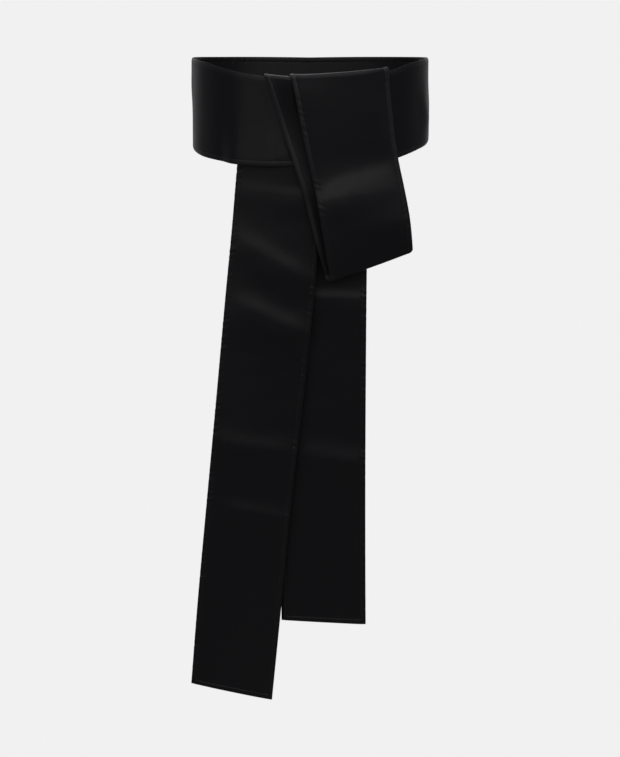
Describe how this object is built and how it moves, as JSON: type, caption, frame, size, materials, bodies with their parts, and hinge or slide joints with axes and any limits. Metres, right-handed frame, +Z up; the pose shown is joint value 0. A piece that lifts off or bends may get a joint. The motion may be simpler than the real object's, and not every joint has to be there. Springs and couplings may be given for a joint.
{
  "type": "silk belt",
  "caption": "Wide satin sash belt, worn round the waist and tied in a half bow with a hanging loop and long flat tails.",
  "frame": {"origin": "middle of the wearer's waist, level with the middle of the band's height at the sides", "axes": "+Z up, -Y towards the knot at the front, +X to the viewer's right when the knot is faced"},
  "size_m": [0.243, 0.2006, 0.6537],
  "materials": {
    "silk_satin": "soft satin sheen, black"
  },
  "bodies": {
    "root": {"waist_band": "silk_satin", "loop": "silk_satin", "front_tail": "silk_satin", "back_tail": "silk_satin"}
  },
  "joints": []
}
